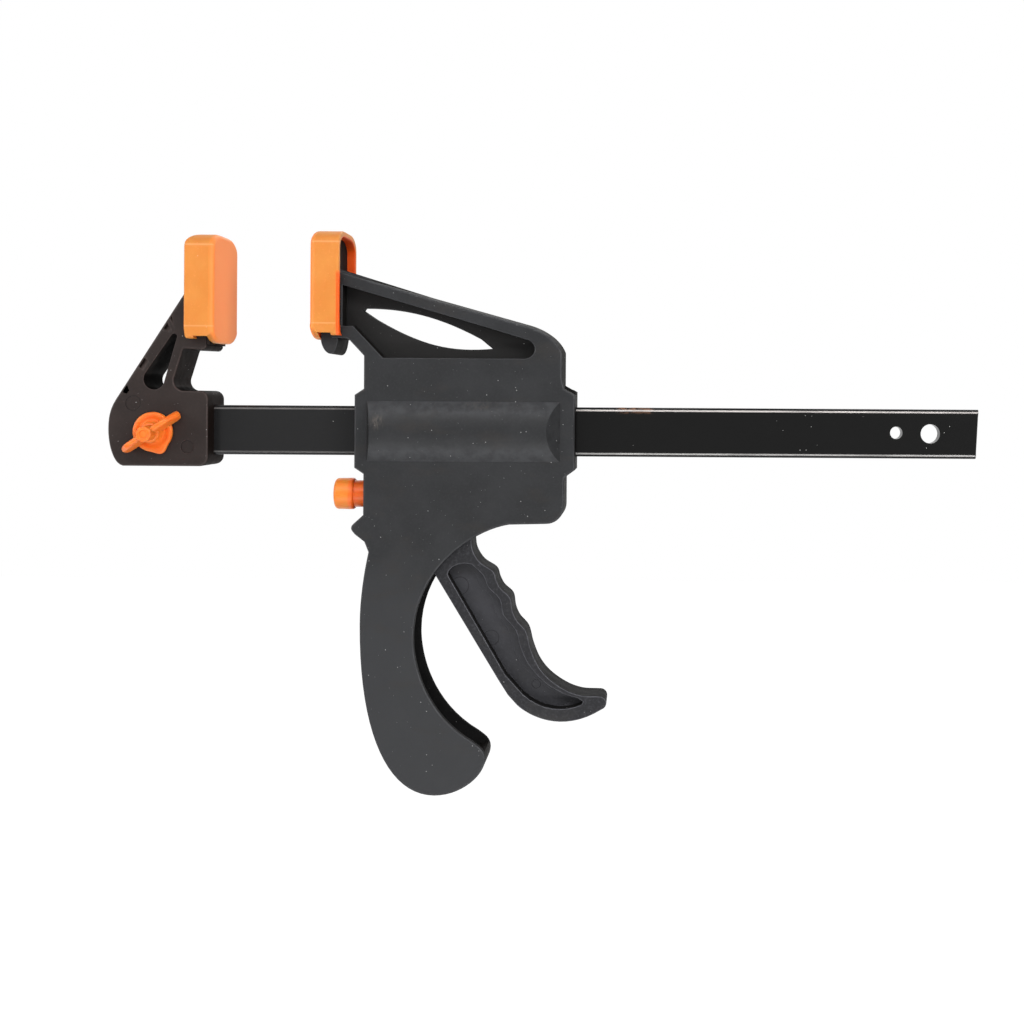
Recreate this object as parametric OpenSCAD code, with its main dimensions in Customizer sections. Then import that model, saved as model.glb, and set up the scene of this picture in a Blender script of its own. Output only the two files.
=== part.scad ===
// Quick release bar clamp: a fixed jaw on a flat steel bar, and a pistol grip
// housing that is ratcheted along the bar by a trigger.
// X runs along the bar, Z up towards the jaw tips, Y across the clamp.
// The origin is the centre of the fixed jaw's clamping face.

/* [Bar] */
// Length of the steel bar
bar_len = 308.5; // [260:0.5:420]
// Height of the bar
bar_h = 18; // [16:0.5:20]
// Thickness of the bar
bar_t = 5; // [4:0.5:6]
// Radius of the bar's long edges
bar_edge_r = 1.1; // [0.5:0.1:2]
// Distance from the centre of the clamping faces down to the bar's centre line
bar_drop = 51; // [48:1:60]
// How far the bar's free end leans out at its top, from the saw cut
bar_end_lean = 0.9; // [0:0.1:2]
// Diameter of the empty stop pin hole
stop_hole_d = 4.5; // [3:0.5:6]
// Distance from the free end to the stop pin hole
stop_hole_inset = 29.9; // [24:0.1:60]
// Diameter of the hole to hang the clamp by
hang_hole_d = 7; // [5:0.5:8]
// Distance from the free end to the hanging hole
hang_hole_inset = 17.5; // [10:0.5:20]

/* [Pads] */
// Height of a rubber pad
pad_h = 39.2; // [36:0.2:42]
// Width of a rubber pad
pad_w = 30; // [28:0.5:34]
// Thickness of a rubber pad
pad_t = 10.6; // [10:0.1:12]
// Rubber between the jaw plate and the work
pad_face_t = 2.6; // [2:0.1:3]
// Rubber round the jaw plate
pad_wall_t = 2; // [1.5:0.1:2.5]

/* [Jaws] */
// Distance between the two clamping faces
jaw_gap = 34; // [20:1:100]
// How much higher the moving pad sits, as its jaw tips back under load
moving_pad_rise = 1.5; // [0:0.1:2]
// Width of the jaws and of the housing
body_w = 20; // [19:0.5:22]
// Distance from the clamping face back to the wing bolt
bolt_inset = 22.6; // [21:0.1:25]
// Diameter of the wing bolt's steel stud
stud_d = 6; // [5:0.5:6]

/* [Housing] */
// Thickness of the shells' outer walls
wall_t = 2.2; // [2:0.1:2.6]
// Outer radius of the barrel over the drive spring
barrel_r = 14.7; // [14.3:0.1:15.5]
// Bore radius of the barrel
barrel_bore_r = 12.3; // [12:0.1:12.4]
// Thickness of the web inside the open arm
arm_web_t = 6; // [4:0.5:8]

/* [Trigger] */
// Width of the trigger's grip
trigger_w = 15; // [12:0.5:15]
// Distance from the bar's centre line down to the trigger's pivot
pivot_drop = 27; // [26.5:0.1:28]
// Diameter of the trigger's pivot pin
pin_d = 5; // [4:0.5:5]
// Distance from the pivot up to the nose that pushes the plates
nose_lift = 12; // [11.5:0.1:12]

/* [Plates and springs] */
// Thickness of a drive plate
plate_t = 2.2; // [2:0.1:2.2]
// Height of a drive plate
plate_h = 36; // [34:0.5:36]
// Thickness of the brake plate
brake_t = 3; // [2.5:0.1:3]
// Lean of the brake plate when it grips the bar, in degrees
brake_lean = 6; // [5:0.1:6]
// Wire diameter of the drive spring
drive_wire_d = 1.4; // [1.2:0.1:1.6]
// Turns of the drive spring
drive_turns = 5; // [4:1:6]
// Wire diameter of the brake spring
brake_wire_d = 0.8; // [0.6:0.1:1]
// Turns of the brake spring
brake_turns = 5; // [4:1:6]

/* [Release button] */
// Diameter of the button's head
button_d = 11.5; // [10.8:0.1:12]
// Diameter of the button's shank
button_shank_d = 9.9; // [9:0.1:10]
// How far the button can be pressed
button_travel = 4; // [3:0.5:4]

/* [Hidden] */
$fn = 64;

black = [0.12, 0.12, 0.13];
orange = [0.95, 0.45, 0.15];
deep_orange = [0.93, 0.36, 0.1];
steel = [0.66, 0.67, 0.69];
dark_steel = [0.3, 0.3, 0.32];

half_w = body_w / 2;              // half the width of the jaws and housing
face_y = half_w - wall_t;         // inner side of a shell's face wall
bar_z = -bar_drop;                // bar's centre line
bar_x0 = -bolt_inset - 10.7;      // bar's end inside the fixed jaw
bar_x1 = bar_x0 + bar_len;        // bar's free end
bolt_z = bar_z - 0.6;             // wing bolt's axis
jaw_plate_x1 = 7.5;               // back of a jaw's plate, from the clamping face
pivot_x = 57.5;                   // trigger pivot, from the moving clamping face
pivot_z = bar_z - pivot_drop;
nose_r = 4.5;                     // radius of the trigger's nose
plate_count = 3;                  // drive_plate_1 to drive_plate_3
plate_x = pivot_x + nose_r + 0.1; // near face of the first drive plate
plate_gap = 0.1;                  // air between two plates
seat_t = 1;                       // spring seat thickness
seat_x = plate_x + plate_count * (plate_t + plate_gap);
spring_x1 = 85.8;                 // where the drive spring bears on the housing
slot_play = 0.2;                  // play round the bar in the housing, each side
brake_pivot = [29.05, -33.8];     // top end of the brake plate, x and z
button_z = bar_z - 23.1;          // button's axis
throat_x = 18.5;                  // housing's face towards the work
button_x0 = 6.5;                  // outer end of the button
button_head_x1 = throat_x - button_travel - 0.6;  // back of the button's head
button_x1 = 23.1;                 // inner end of the button, against the brake plate

// ---- Outline helpers ----

// Points of an arc round centre c, from angle a to angle b, in n steps
function arc(c, r, a, b, n = 8) =
    [for (i = [0:n]) c + r * [cos(a + (b - a) * i / n), sin(a + (b - a) * i / n)]];

// Points of a cubic curve from p to s with handles q and r; its last point is left out
function curve(p, q, r, s, n = 10) =
    [for (i = [0:n - 1]) let (t = i / n, u = 1 - t)
        u * u * u * p + 3 * u * u * t * q + 3 * u * t * t * r + t * t * t * s];

// Points of a smooth line through all of pts (Catmull-Rom), n steps a stretch
function smooth(pts, n = 4) =
    let (k = len(pts) - 1)
    [for (i = [0:k - 1]) for (j = [0:n - 1])
        let (t = j / n, a = pts[max(i - 1, 0)], b = pts[i], c = pts[i + 1], d = pts[min(i + 2, k)])
        0.5 * (2 * b + (c - a) * t + (2 * a - 5 * b + 4 * c - d) * t * t
               + (3 * b - a - 3 * c + d) * t * t * t)];

// A closed outline in X and Z, made a slab from y0 to y1
module slab(points, y0, y1) {
    translate([0, y1, 0])
        rotate([90, 0, 0])
            linear_extrude(height = y1 - y0) polygon(points);
}

// A rod along Y
module y_rod(x, z, r, y0, y1, fn = 64) {
    translate([x, y1, z])
        rotate([90, 0, 0]) cylinder(r = r, h = y1 - y0, $fn = fn);
}

// A rod along X
module x_rod(z, r, x0, x1) {
    translate([x0, 0, z])
        rotate([0, 90, 0]) cylinder(r = r, h = x1 - x0);
}

// A box from its lowest to its highest corner
module block(low, high) {
    translate(low) cube(high - low);
}

// A rounded rectangle, w along Y and h along Z, drawn out along X from x0 to x1
module rounded_bar(w, h, r, x0, x1) {
    corners = [for (k = [0:3]) each arc([(k == 0 || k == 3 ? 1 : -1) * (w / 2 - r),
                                         (k < 2 ? 1 : -1) * (h / 2 - r)], r, 90 * k, 90 * k + 90, 4)];
    translate([x0, 0, 0])
        rotate([90, 0, 90])
            linear_extrude(height = x1 - x0) polygon(corners);
}

// The pad's outline in Y and Z with its four elliptical corners, shrunk by inset, drawn out along X
module pad_form(inset, x0, x1) {
    round_y = 9.5 - inset * 0.6;  // how far a corner's round reaches, across and up
    round_z = 5.4 - inset * 0.4;
    steps = 8;
    pts = [for (k = [0:3]) for (i = [0:steps])
        let (a = 90 * k + 90 * i / steps,
             side_y = k == 0 || k == 3 ? 1 : -1,
             side_z = k < 2 ? 1 : -1)
        [side_y * (pad_w / 2 - inset - round_y) + round_y * cos(a),
         side_z * (pad_h / 2 - inset - round_z) + round_z * sin(a)]];
    translate([x0, 0, 0])
        rotate([90, 0, 90])
            linear_extrude(height = x1 - x0) polygon(pts);
}

// ---- Pads and jaws ----

// Rubber pad with its clamping face at x = 0 and its open back towards +X
module pad() {
    skirt_z = -16.9;              // where the walls end and the open bottom begins
    notch_z = -16;                // roof of the notch in the walls' lower edge
    difference() {
        pad_form(0, 0, pad_t);
        pad_form(pad_wall_t, pad_face_t, pad_t + 1);
        // the tongue of the jaw plate comes out through the open bottom
        block([pad_face_t, -half_w - 0.1, -pad_h], [pad_t + 1, half_w + 0.1, 0]);
        block([pad_face_t + 0.1, -pad_w, -pad_h], [pad_t + 1, pad_w, skirt_z]);
        block([pad_face_t + 0.1, -pad_w, skirt_z - 1], [jaw_plate_x1, pad_w, notch_z]);
    }
}

// Jaw plate inside a pad, in the pad's own place, with its back sunk into the pad
module jaw_plate() {
    pad_form(pad_wall_t + 0.1, pad_face_t + 0.1, jaw_plate_x1);
}

// Outline of the fixed jaw behind its plate
jaw_side = concat(
    [[-10.2, 1.2], [-7, 1.2], [-7, -16.5], [-4, -16.5]],
    arc([-5.6, -20.6], 1.6, 20, -80, 5),
    [[-12.3, -21.9]],
    curve([-12.6, -22.5], [-13.5, -25.8], [-14.7, -29.2], [-15.5, -32.4], 6),
    arc([-12.1, -33.2], 3.6, 165, 270, 8),
    arc([-6.4, -39.85], 3.05, 90, 0, 8),
    arc([-6.5, -60.8], 3.2, 0, -90, 8),
    curve([-34, -64], [-37.5, -63.2], [-39.25, -56.3], [-39.25, -50.6], 10),
    curve([-39.25, -50.6], [-39.25, -46.5], [-38.6, -43.4], [-36.6, -40.2], 6),
    [[-36.6, -40.2]]);

// Teardrop window through the fixed jaw's neck
jaw_window = concat(arc([-22.7, -32.7], 3.75, 145, 335, 14), arc([-15.6, -17.4], 1, -20, 150, 6));

module fixed_jaw() {
    color(black) difference() {
        union() {
            slab(jaw_side, -half_w, half_w);
            mirror([1, 0, 0]) jaw_plate();
            // tongue below the pad
            block([-7.3, -half_w + 0.6, -20.2], [-pad_face_t - 0.4, half_w - 0.6, -14]);
        }
        slab(jaw_window, -half_w - 1, half_w + 1);
        // pocket for the bar
        block([bar_x0 - 0.3, -bar_t / 2 - 0.1, bar_z - bar_h / 2 - 0.1],
              [0, bar_t / 2 + 0.1, bar_z + bar_h / 2 + 0.1]);
        y_rod(-bolt_inset, bolt_z, stud_d / 2 + 0.2, -half_w - 1, half_w + 1);
        // hexagon pocket for the nut at the back
        y_rod(-bolt_inset, bolt_z, nut_r + 0.13, half_w - nut_t - 0.3, half_w + 1, 6);
        // ejector marks
        y_rod(-10.6, -57, 2.35, -half_w - 1, -half_w + 0.5);
        y_rod(-30.1, -41.5, 2.7, -half_w - 1, -half_w + 0.12);
        y_rod(-10.6, -57, 2.35, half_w - 0.5, half_w + 1);
    }
}

module fixed_jaw_pad() {
    color(orange) mirror([1, 0, 0]) pad();
}

// ---- Wing bolt ----

bolt_seat_y = -half_w - 0.1;      // underside of the bolt's head
stud_depth = 4.4;                 // how deep the stud sits in the head
nut_r = 5.77;                     // across corners, halved: 10 mm across flats
nut_t = 5;

module wing_bolt_head() {
    wing_tilt = 33.8;             // where the wings stand
    wing_r = 12.3;
    wing_t = 2.7;
    hub_r = 3.1;
    hub_h = 10.9;
    color(deep_orange) difference() {
        translate([-bolt_inset, bolt_seat_y, bolt_z]) union() {
            // dished flange with a boss round the stud
            rotate([90, 0, 0]) rotate_extrude()
                polygon([[0, 0], [7.2, 0], [7.2, 1.5], [6.6, 2.1],
                         [5.4, 2], [4.4, 2.6], [4.1, 5.2], [0, 5.2]]);
            // faceted hub
            rotate([0, 22.5 - wing_tilt, 0]) y_rod(0, 0, hub_r, -hub_h, -1, 8);
            // two wings, just clear of the jaw
            for (side = [0, 180])
                rotate([0, side - wing_tilt, 0])
                    translate([0, 0, -wing_t / 2])
                        linear_extrude(height = wing_t)
                            polygon([[1, -0.3], [9.6, -0.3], [wing_r - 0.6, -0.8], [wing_r, -2],
                                     [wing_r - 0.7, -3.9], [9.8, -5.2], [6.8, -8.2], [1, -9.4]]);
            // lobe on the flange's edge
            y_rod(3.9, -6.6, 2.2, -1.9, -0.2);
        }
        // blind hole that holds the stud
        y_rod(-bolt_inset, bolt_z, stud_d / 2, bolt_seat_y - stud_depth, bolt_seat_y + 1);
    }
}

module wing_bolt_stud() {
    color(steel) y_rod(-bolt_inset, bolt_z, stud_d / 2, bolt_seat_y - stud_depth, half_w - 0.8);
}

module jaw_nut() {
    color(steel) difference() {
        y_rod(-bolt_inset, bolt_z, nut_r, half_w - 0.2 - nut_t, half_w - 0.2, 6);
        y_rod(-bolt_inset, bolt_z, stud_d / 2 + 0.05, 0, half_w + 1);
    }
}

// ---- Bar ----

module bar() {
    z0 = bar_z - bar_h / 2;
    z1 = bar_z + bar_h / 2;
    color(dark_steel) difference() {
        intersection() {
            translate([0, 0, bar_z]) rounded_bar(bar_t, bar_h, bar_edge_r, bar_x0, bar_x1 + 1);
            slab([[bar_x0, z0], [bar_x1 - bar_end_lean, z0], [bar_x1, z1], [bar_x0, z1]], -bar_t, bar_t);
        }
        y_rod(bar_x1 - stop_hole_inset, bar_z + 0.4, stop_hole_d / 2, -bar_t, bar_t);
        y_rod(bar_x1 - hang_hole_inset, bar_z + 0.1, hang_hole_d / 2, -bar_t, bar_t);
        y_rod(-bolt_inset, bolt_z, stud_d / 2 + 0.5, -bar_t, bar_t);
    }
}

// ---- Housing, drawn from the moving clamping face ----

// Left edge of the handle, from the beak to the bottom
handle_back = concat(
    curve([20.5, -94.5], [18.9, -102], [17.5, -111], [17.5, -120.5], 8),
    curve([17.5, -120.5], [17.5, -160.4], [28.3, -181.9], [44.7, -181.9], 20));
// Bottom of the handle, from the back to the front
handle_foot = curve([44.7, -181.9], [54.8, -181.9], [63, -174.2], [63, -168.5], 14);
// Right edge of the handle's front, from the nose up to the body's underside
handle_front = concat(
    curve([63, -168.5], [63, -165.4], [60.8, -164.2], [58.5, -162.5], 6),
    curve([58.5, -162.5], [41, -152.3], [36.9, -134.3], [36.9, -125.1], 16),
    curve([36.9, -125.1], [36.9, -99.6], [59.9, -85], [73, -84.1], 20));

housing_side = concat(
    [[7, 8], [42, -2.4]],
    curve([78, -12.3], [83.5, -13.9], [89, -17.6], [90.6, -22.3], 10),
    [[90.6, -22.3], [90.6, -35.4], [94.5, -37.6], [94.5, -64.6], [90.7, -67.4]],
    arc([84.3, -77.6], 6.4, 0, -90, 10),
    [for (i = [len(handle_front) - 1:-1:0]) handle_front[i]],
    [for (i = [len(handle_foot) - 1:-1:0]) handle_foot[i]],
    [for (i = [len(handle_back) - 1:-1:0]) handle_back[i]],
    [[19, -90.8], [15.6, -88.2]],
    arc([15.9, -85.9], 1.7, 220, 130, 4),
    [[throat_x, -81.2], [throat_x, -66.4], [15.2, -64.2], [15.2, -38], [throat_x, -35.8],
     [throat_x, -23.9], [12.6, -17.6], [7, -17.6]]);

// The far half's collar starts a little higher at the back
far_collar = [[90, -34], [90.6, -34.2], [94.5, -36.4], [94.5, -38], [90, -36]];

// Recess in each side of the arm
arm_recess = concat(
    [[10.8, 1.4], [51.2, -10.2]],
    arc([76.4, -21.2], 3.4, 73, -90, 8),
    [[25.4, -24.6], [14.6, -13.2], [10.8, -13.2]]);

// Lens-shaped window through the arm's web
arm_window = concat(
    curve([17.2, -6.3], [29, -6.3], [43, -7.8], [63.6, -19.6], 16),
    curve([64, -20.9], [50, -22.2], [37.5, -20.6], [17.4, -8], 16),
    [[16.6, -7.2]]);

// Hollow of the body and the channel down the handle, open towards the trigger, behind a 4 mm spine
hollow = concat(
    [[21.5, -27.2], [87.4, -27.2], [87.4, -76.6], [83.6, -80.4], [72, -81],
     [61.5, -84], [64, -100], [64, -166], [60.8, -166.8]],
    curve([57, -168.2], [54.5, -176], [48, -178], [45, -178], 4),
    [for (i = [0:8]) curve([45, -178], [29.4, -178], [21.7, -143], [21.7, -120.5], 9)[i]],
    curve([21.7, -120.5], [21.7, -111], [23, -101], [24.2, -94], 4),
    [[22.8, -88], [21.5, -82]]);

// Half of the moving jaw's plate with its tongue, on the side given by the mirror
module moving_plate_half() {
    translate([0, 0, moving_pad_rise]) intersection() {
        jaw_plate();
        block([0, -pad_w, -pad_h], [pad_w, 0, pad_h]);
    }
    x0 = pad_face_t + 0.3;        // just clear of the pad's face
    tongue = concat([[x0, -14]], curve([x0, -18.6], [x0 + 0.2, -20.6], [4.6, -23.3], [6.4, -23.3], 8),
                    curve([6.4, -23.3], [8.4, -23.3], [8.8, -20], [9.2, -17.4], 8), [[9.2, -14]]);
    slab(tongue, -half_w + 0.8, 0);
}

// Barrel over the drive spring, with a steep end and a sloped end
module barrel() {
    rise = barrel_r - half_w;
    intersection() {
        x_rod(bar_z, barrel_r, 19, 90);
        translate([0, 0, bar_z - barrel_r])
            linear_extrude(height = 2 * barrel_r)
                polygon([[19.8, 0], [19.8, -half_w], [19.8 + 0.35 * rise, -barrel_r],
                         [89.2 - rise, -barrel_r], [89.2, -half_w], [89.2, 0]]);
    }
}

// Screw places, x and z
screw_at = [[24.2, -30.4], [84.6, -30.4], [83.8, -75.4], [25, -87.6], [23.2, -126], [46.5, -176.4]];
boss_r = 3.3;

// One half shell on the -Y side, without its screw holes
module half_shell() {
    difference() {
        union() {
            difference() {
                union() {
                    slab(housing_side, -half_w, 0);
                    barrel();
                }
                slab(hollow, -face_y, 1);
            }
            intersection() {
                union() {
                    for (p = screw_at) y_rod(p[0], p[1], boss_r, -face_y - 0.5, 0);
                    // ribs that hold the top of the brake plate
                    block([25.4, -face_y - 0.5, -34.6], [27.3, 0, -26.8]);
                    block([30.8, -face_y - 0.5, -34.6], [32.6, 0, -26.8]);
                    // rib behind the brake spring
                    block([40, -face_y - 0.5, -79.4], [42, 0, -63.6]);
                    // bearing for the trigger's pin
                    y_rod(pivot_x, pivot_z, 5.4, -face_y - 0.5, -5.8);
                }
                slab(housing_side, -half_w, 0);
            }
            moving_plate_half();
        }
        // recess in the arm, down to the web
        slab(arm_recess, -half_w - 1, -arm_web_t / 2);
        slab(arm_window, -half_w, 1);
        // way of the bar
        block([8, -bar_t / 2 - slot_play, bar_z - bar_h / 2 - slot_play],
              [96, 1, bar_z + bar_h / 2 + slot_play]);
        // bore of the barrel
        x_rod(bar_z, barrel_bore_r, 22.4, spring_x1 + 0.1);
        // way of the button
        x_rod(button_z, button_shank_d / 2 + 0.2, 10, 22);
        // blind hole for the trigger's pin
        y_rod(pivot_x, pivot_z, pin_d / 2, -9.1, 1);
    }
}

module front_shell() {
    color(black) translate([jaw_gap, 0, 0]) difference() {
        half_shell();
        // pilot holes for the screws
        for (p = screw_at) y_rod(p[0], p[1], 1.25, -7.2, 1);
    }
}

module rear_shell() {
    color(black) translate([jaw_gap, 0, 0]) difference() {
        union() {
            mirror([0, 1, 0]) half_shell();
            slab(far_collar, 0, half_w);
        }
        // clearance holes and counterbores
        for (p = screw_at) {
            y_rod(p[0], p[1], 1.7, -1, half_w + 1);
            y_rod(p[0], p[1], 3.1, half_w - 2.6, half_w + 1);
        }
    }
}

module shell_screws() {
    color(steel) translate([jaw_gap, 0, 0])
        for (p = screw_at) difference() {
            union() {
                y_rod(p[0], p[1], 2.9, half_w - 2.55, half_w - 0.7);
                y_rod(p[0], p[1], 1.2, -6.8, half_w - 2.5);
            }
            // cross recess
            block([p[0] - 1.5, half_w - 1.7, p[1] - 0.3], [p[0] + 1.5, half_w, p[1] + 0.3]);
            block([p[0] - 0.3, half_w - 1.7, p[1] - 1.5], [p[0] + 0.3, half_w, p[1] + 1.5]);
        }
}

module moving_jaw_pad() {
    color(orange) translate([jaw_gap, 0, moving_pad_rise]) pad();
}

// ---- Trigger ----

// Front edge of the trigger with its finger grips, from the housing to the tip
trigger_front = smooth([[57.3, -90], [57.9, -94], [60.6, -98.2], [65.2, -101.3], [66.5, -104.7],
                        [68.1, -107.6], [71.4, -110.8], [72.3, -115.4], [73.9, -119], [77.2, -122.9],
                        [78.9, -129], [81.4, -134.9], [85.3, -139.7], [91.2, -143.8], [97, -145.9],
                        [102.8, -146.2]], 5);
trigger_side = concat(
    arc([pivot_x, pivot_z + nose_lift], nose_r, 200, -40, 14),
    arc([pivot_x, pivot_z], 5.4, 0, -60, 4),
    trigger_front,
    arc([103.9, -148.7], 2.45, 85, -55, 8),
    curve([104.6, -151.1], [90, -160.3], [77.9, -153.1], [74.2, -149.8], 16),
    [[74.2, -149.8], [70.7, -146], [67.3, -140.7], [46.3, -106.2], [42.4, -99.8]],
    arc([45.4, -98.2], 3.4, 208, 120, 4),
    [[52.4, -82.2]]);

// Hollow in each side of the trigger's grip
trigger_hollow = concat(
    [[48.8, -102.6]],
    curve([49.2, -101.4], [50.4, -99.2], [54.2, -98], [57.4, -99], 4),
    smooth([[57.4, -99], [61.6, -103], [63.4, -107.2], [67.6, -111.6], [68.8, -117.2], [73.4, -122.6],
            [75, -128.4], [78.2, -135.2], [84.2, -141.6], [91.4, -145.7], [97.4, -147.3]], 3),
    [[97.8, -148.2]],
    curve([97.4, -149.2], [91, -152], [83, -151.6], [76.4, -145.8], 8),
    [[76.4, -145.8], [69.8, -138.6]]);

// What is cut from the trigger on its -Y side
module trigger_cuts() {
    low = -trigger_w / 2 - 1;
    web = 2.2;                    // half the web's thickness
    step_w = 3.2;                 // raised band of the web along the grips
    slab(trigger_hollow, low, -web - 0.5);
    intersection() {
        slab(trigger_hollow, low, -web);
        translate([-step_w, 0, 0]) slab(trigger_hollow, low, -web);
    }
    // narrow neck that swings between the bearings
    slab([[40, -91], [48, -91], [56, -85.6], [64, -85.6], [72, -91], [72, -55], [40, -55]], low, -5.5);
}

module trigger() {
    half = trigger_w / 2;
    color(black) translate([jaw_gap, 0, 0]) difference() {
        slab(trigger_side, -half, half);
        trigger_cuts();
        mirror([0, 1, 0]) trigger_cuts();
        y_rod(pivot_x, pivot_z, pin_d / 2 + 0.05, -half - 1, half + 1);
    }
}

module trigger_pin() {
    color(steel) translate([jaw_gap, 0, 0]) y_rod(pivot_x, pivot_z, pin_d / 2 - 0.01, -9, 9);
}

// ---- Drive ----

// A steel plate with a slot for the bar, its near face at x
module slotted_plate(x, t, h, slot_h) {
    half = face_y - 0.6;
    difference() {
        translate([0, 0, bar_z]) rounded_bar(2 * half, h, 2, x, x + t);
        block([x - 1, -bar_t / 2 - 0.15, bar_z - slot_h / 2],
              [x + t + 1, bar_t / 2 + 0.15, bar_z + slot_h / 2]);
    }
}

module drive_plate(i) {
    color(steel) translate([jaw_gap, 0, 0])
        slotted_plate(plate_x + i * (plate_t + plate_gap), plate_t, plate_h, bar_h + 0.3);
}

module spring_seat() {
    color(steel) translate([jaw_gap, 0, 0]) difference() {
        x_rod(bar_z, 11.8, seat_x, seat_x + seat_t);
        block([seat_x - 1, -bar_t / 2 - 0.3, bar_z - bar_h / 2 - 0.3],
              [seat_x + 2, bar_t / 2 + 0.3, bar_z + bar_h / 2 + 0.3]);
    }
}

// A wire coil round an axis along X at height z, from x0 to x1
module coil(z, r, wire_r, x0, x1, turns, steps, sides) {
    rings = turns * steps;
    lead = (x1 - x0 - 2 * wire_r) / rings;
    pts = [for (i = [0:rings]) for (j = [0:sides - 1])
        let (a = 360 * i / steps, b = 360 * j / sides, rr = r + wire_r * cos(b))
        [x0 + wire_r + lead * i + wire_r * sin(b), rr * sin(a), z + rr * cos(a)]];
    sides_faces = [for (i = [0:rings - 1]) for (j = [0:sides - 1])
        let (k = (j + 1) % sides)
        [i * sides + j, i * sides + k, (i + 1) * sides + k, (i + 1) * sides + j]];
    caps = [[for (j = [sides - 1:-1:0]) j], [for (j = [0:sides - 1]) rings * sides + j]];
    polyhedron(points = pts, faces = concat(sides_faces, caps), convexity = 10);
}

module drive_spring() {
    color(steel) translate([jaw_gap, 0, 0])
        coil(bar_z, 10.75, drive_wire_d / 2, seat_x + seat_t + 0.05, spring_x1, drive_turns, 20, 8);
}

// ---- Brake ----

module brake_plate() {
    bottom = 43;                  // plate below its pivot
    slot_mid = 17.3;              // middle of the slot below the pivot
    slot_half = bar_h / 2 + 0.3;
    half = face_y - 0.6;
    color(steel)
        translate([jaw_gap + brake_pivot[0], 0, brake_pivot[1]])
            rotate([0, brake_lean, 0]) difference() {
                union() {
                    block([-brake_t / 2, -half, -bottom], [brake_t / 2, half, 0]);
                    // round top edge, on which the plate tips
                    y_rod(0, 0, brake_t / 2, -half, half);
                }
                block([-brake_t, -bar_t / 2 - 0.15, -slot_mid - slot_half],
                      [brake_t, bar_t / 2 + 0.15, -slot_mid + slot_half]);
            }
}

module brake_spring() {
    z = bar_z - 18.2;
    x0 = brake_pivot[0] + brake_t / 2 - (brake_pivot[1] - z) * tan(brake_lean) + 0.45;
    color(steel) translate([jaw_gap, 0, 0])
        coil(z, 3.1, brake_wire_d / 2, x0, 39.9, brake_turns, 16, 6);
}

module release_button() {
    head_r = button_d / 2;
    shank_r = button_shank_d / 2;
    collar_x0 = 21.7;
    color(deep_orange) translate([jaw_gap, 0, button_z])
        rotate([0, 90, 0]) rotate_extrude()
            polygon(concat([[0, button_x0]],
                           curve([3.2, button_x0 + 0.05], [4.7, button_x0 + 0.15],
                                 [head_r - 0.15, button_x0 + 0.6], [head_r - 0.1, button_x0 + 1.8], 5),
                           [[head_r - 0.1, button_x0 + 1.8], [head_r, button_head_x1 - 0.7],
                            [head_r - 0.5, button_head_x1], [shank_r, button_head_x1 + 0.1],
                            [shank_r, collar_x0], [6.1, collar_x0], [6.1, collar_x0 + 1.2],
                            [shank_r, collar_x0 + 1.2], [1.2, button_x1], [0, button_x1]]));
}

bar();
fixed_jaw();
fixed_jaw_pad();
wing_bolt_head();
wing_bolt_stud();
jaw_nut();
front_shell();
rear_shell();
shell_screws();
moving_jaw_pad();
trigger();
trigger_pin();
drive_plate(0);  // drive_plate_1
drive_plate(1);  // drive_plate_2
drive_plate(2);  // drive_plate_3
spring_seat();
drive_spring();
brake_plate();
brake_spring();
release_button();
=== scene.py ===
"""Finishes for the quick release bar clamp.

It holds the rounded mouldings, the moulded wing bolt and button, the materials, light and camera.
Axes are the frame's own: X along the bar, Z up towards the jaw tips, Y across the clamp.
Lengths are in millimetres where a name or docstring doesn't say otherwise; MM turns them into metres.
"""
import math

import bpy
import numpy as np
from mathutils import Matrix
from mathutils.geometry import delaunay_2d_cdt


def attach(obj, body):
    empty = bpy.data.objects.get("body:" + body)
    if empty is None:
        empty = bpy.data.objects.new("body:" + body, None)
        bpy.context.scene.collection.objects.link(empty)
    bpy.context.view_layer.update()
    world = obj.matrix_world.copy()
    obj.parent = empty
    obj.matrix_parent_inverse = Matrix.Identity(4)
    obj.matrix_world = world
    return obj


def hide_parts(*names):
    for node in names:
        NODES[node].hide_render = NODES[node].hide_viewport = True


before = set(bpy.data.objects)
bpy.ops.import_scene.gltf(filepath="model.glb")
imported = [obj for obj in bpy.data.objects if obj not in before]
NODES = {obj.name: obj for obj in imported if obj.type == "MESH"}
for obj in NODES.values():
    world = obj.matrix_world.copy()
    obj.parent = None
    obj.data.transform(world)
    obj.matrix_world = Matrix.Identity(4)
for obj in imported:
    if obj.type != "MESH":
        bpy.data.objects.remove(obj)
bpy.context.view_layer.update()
MM = 0.001

# ---- Driving places ----

HALF_W = 10.0                    # half the width of the jaws and the housing
JAW_GAP = 34.0                   # from the fixed clamping face to the moving one
PAD_T = 10.6                     # from a pad's clamping face to its open back
PAD_HALF_H = 19.6                # half the height of a pad
PAD_RISE = 1.5                   # how much higher the moving pad sits
SKIRT_DROP = 1.3                 # how much longer the pads' side walls are at the bottom than in the CAD
ARM_DRAFT = 0.9                  # how far the arm's back leans in towards the shells' broad sides
BAR_Z = -51.0                    # middle line of the bar
BAR_HALF_T = 2.5                 # half the thickness of the bar
BOLT = (-22.6, -51.6)            # wing bolt's axis, x and z
BOLT_SEAT_Y = -10.1              # underside of the wing bolt's head
WING_TILT = 33.8                 # degrees from the bar's direction to the wings
BUTTON_Z = BAR_Z - 23.1          # release button's axis
JAW_WINDOW_ENDS = np.array([[-22.7, -32.7], [-15.6, -17.4]])    # middles of the jaw window's round ends
JAW_MARKS = ((-10.6, -57.0), (-30.1, -41.5))                    # round moulding marks on the jaw's flank
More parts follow.
